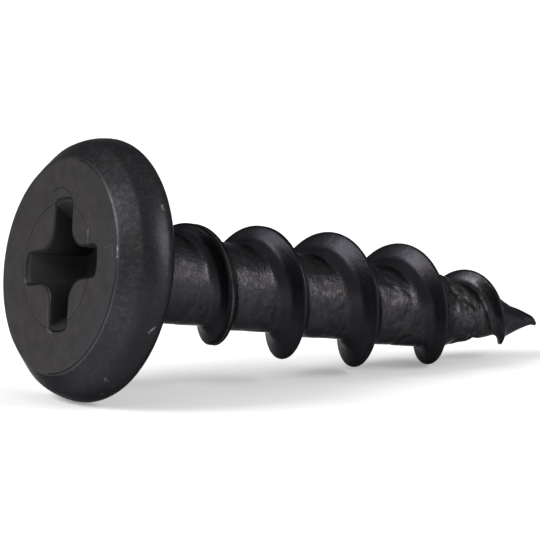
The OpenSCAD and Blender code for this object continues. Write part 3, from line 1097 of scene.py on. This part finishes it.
def phosphate_finish(record):
    """Dark phosphate coat: speckled on the bevel, dull and with painted shade in the recess, rubbed bright on
    the core, and with painted light and shade on the head, the crests and the last turn.
    """
    metal = bpy.data.materials.new("phosphated steel")
    metal.use_nodes = True
    tree = metal.node_tree
    tree.nodes.clear()
    sheet = FinishSheet(tree, record)

    coat = bevel_coat(sheet, face_coat(sheet, base_coat(sheet)))
    lining_and_shade = recess_lining_and_shade(sheet)
    # Painted shade in the recess, darker with depth; the same mask makes the lining dull
    recess_shade_coat = sheet.blend(sheet.ramp(sheet.depth, *RECESS_SHADE_Z), RECESS_SHADE_LIGHT, RECESS_SHADE_DARK)
    coat = sheet.blend(lining_and_shade, coat, recess_shade_coat)
    core = rubbed_core(sheet)
    coat = thread_coat(sheet, coat, core)
    pressed = pressed_lines(sheet)
    coat = sheet.blend(pressed, coat, PRESSED_LINE)
    # Painted shade along the crease between face and bevel
    coat = sheet.blend(face_crease_shade(sheet), coat, CREASE_PAINTED_SHADE)
    # Scratches, nicks and painted highlights on edges
    coat = sheet.blend(scratches_and_glints(sheet), coat, BARE_STEEL_AND_GLINT)

    surface = {
        "Base Color": coat,
        "Metallic": sheet.ramp(lining_and_shade, 0.0, 1.0, 0.9, 0.1),
        "Roughness": coat_roughness(sheet, core, lining_and_shade),
        "Normal": coat_relief(sheet, core, pressed),
    }
    shader = sheet.add("ShaderNodeBsdfPrincipled", surface)
    shader.inputs["Specular Tint"].default_value = GRAZING_TINT
    sheet.add("ShaderNodeOutputMaterial", {"Surface": shader.outputs[0]})
    return metal


# Studio


# Lamps: name, place, size and power, in metres and watts
LAMPS = (
    ("left softbox", (-0.92, 0.20, 0.72), (0.62, 0.62), 10.5),
    ("right softbox", (0.64, -0.90, 0.47), (0.55, 0.85), 8.2),
)
LAMP_TARGET = (0, 0, 0.004)
WORLD_STRENGTH = 0.44

# The floor: half its width in metres, its paper's colour, and how much it glows to the camera
FLOOR_REACH = 3.0
PAPER_WHITE = (0.96, 0.96, 0.96, 1)
PAPER_ROUGHNESS = 0.9
PAPER_GLOW = 0.24


def pale_floor():
    """A wide pale floor that shows white to the camera and keeps the screw's shadow."""
    mesh = bpy.data.meshes.new("studio_floor")
    corners = [(FLOOR_REACH * x, FLOOR_REACH * y, 0) for x, y in ((-1, -1), (1, -1), (1, 1), (-1, 1))]
    mesh.from_pydata(corners, [], [(0, 1, 2, 3)])
    floor = bpy.data.objects.new("studio_floor", mesh)
    bpy.context.scene.collection.objects.link(floor)
    paper = bpy.data.materials.new("white paper")
    paper.use_nodes = True
    shader = paper.node_tree.nodes["Principled BSDF"]
    shader.inputs["Base Color"].default_value = PAPER_WHITE
    shader.inputs["Roughness"].default_value = PAPER_ROUGHNESS
    shader.inputs["Emission Color"].default_value = (1, 1, 1, 1)
    sheet = NodeSheet(paper.node_tree)
    paths = sheet.add("ShaderNodeLightPath").outputs
    seen = sheet.math("MAXIMUM", paths["Is Camera Ray"], paths["Is Glossy Ray"])
    seen = sheet.math("MAXIMUM", seen, paths["Is Transmission Ray"])
    sheet.feed(shader.inputs["Emission Strength"], sheet.math("MULTIPLY", seen, PAPER_GLOW))
    mesh.materials.append(paper)
    return floor


def softbox(name, place, size, power):
    """A flat lamp that points at the screw."""
    lamp = bpy.data.lights.new(name, "AREA")
    lamp.shape = "RECTANGLE"
    lamp.size, lamp.size_y = size
    lamp.energy = power
    body = bpy.data.objects.new(name, lamp)
    body.location = place
    body.rotation_euler = (Vector(LAMP_TARGET) - Vector(place)).to_track_quat("-Z", "Y").to_euler()
    bpy.context.scene.collection.objects.link(body)


def studio_light():
    """An even white room with two soft lamps."""
    world = bpy.data.worlds.new("white studio")
    bpy.context.scene.world = world
    world.use_nodes = True
    tree = world.node_tree
    tree.nodes.clear()
    sheet = NodeSheet(tree)
    light = sheet.add("ShaderNodeBackground", {"Color": (1, 1, 1, 1), "Strength": WORLD_STRENGTH})
    sheet.add("ShaderNodeOutputWorld", {"Surface": light.outputs[0]})
    for lamp in LAMPS:
        softbox(*lamp)


def photo_camera():
    """A camera where the photograph's was, found by matching the outline and the face's edge."""
    a, e = math.radians(VIEW_AZIMUTH), math.radians(VIEW_ELEVATION)
    ahead = Vector((math.cos(e) * math.cos(a), math.cos(e) * math.sin(a), -math.sin(e)))
    sideways = ahead.cross(Vector((0, 0, 1))).normalized()
    plumb = ahead.cross(sideways)
    roll = math.radians(VIEW_ROLL)
    right = sideways * math.cos(roll) + plumb * math.sin(roll)
    down = plumb * math.cos(roll) - sideways * math.sin(roll)
    aside, below, away = VIEW_OFFSET
    place = -(right * aside + down * below + ahead * away) * MM
    lens = bpy.data.cameras.new("photo camera")
    lens.sensor_width = SENSOR
    lens.lens = SENSOR * FOCAL_PX / PHOTO_PX
    lens.clip_start, lens.clip_end = VIEW_CLIP
    camera = bpy.data.objects.new("photo camera", lens)
    camera.matrix_world = Matrix.Translation(place) @ Matrix((right, -down, -ahead)).transposed().to_4x4()
    bpy.context.scene.collection.objects.link(camera)
    bpy.context.scene.camera = camera


def main():
    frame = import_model()
    bpy.context.scene.view_settings.view_transform = "Standard"

    metal = phosphate_finish(frame["record"])
    screw = whole_screw(frame["record"], metal)
    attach(screw, "root")
    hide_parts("screw")

    pale_floor()
    studio_light()
    photo_camera()


main()
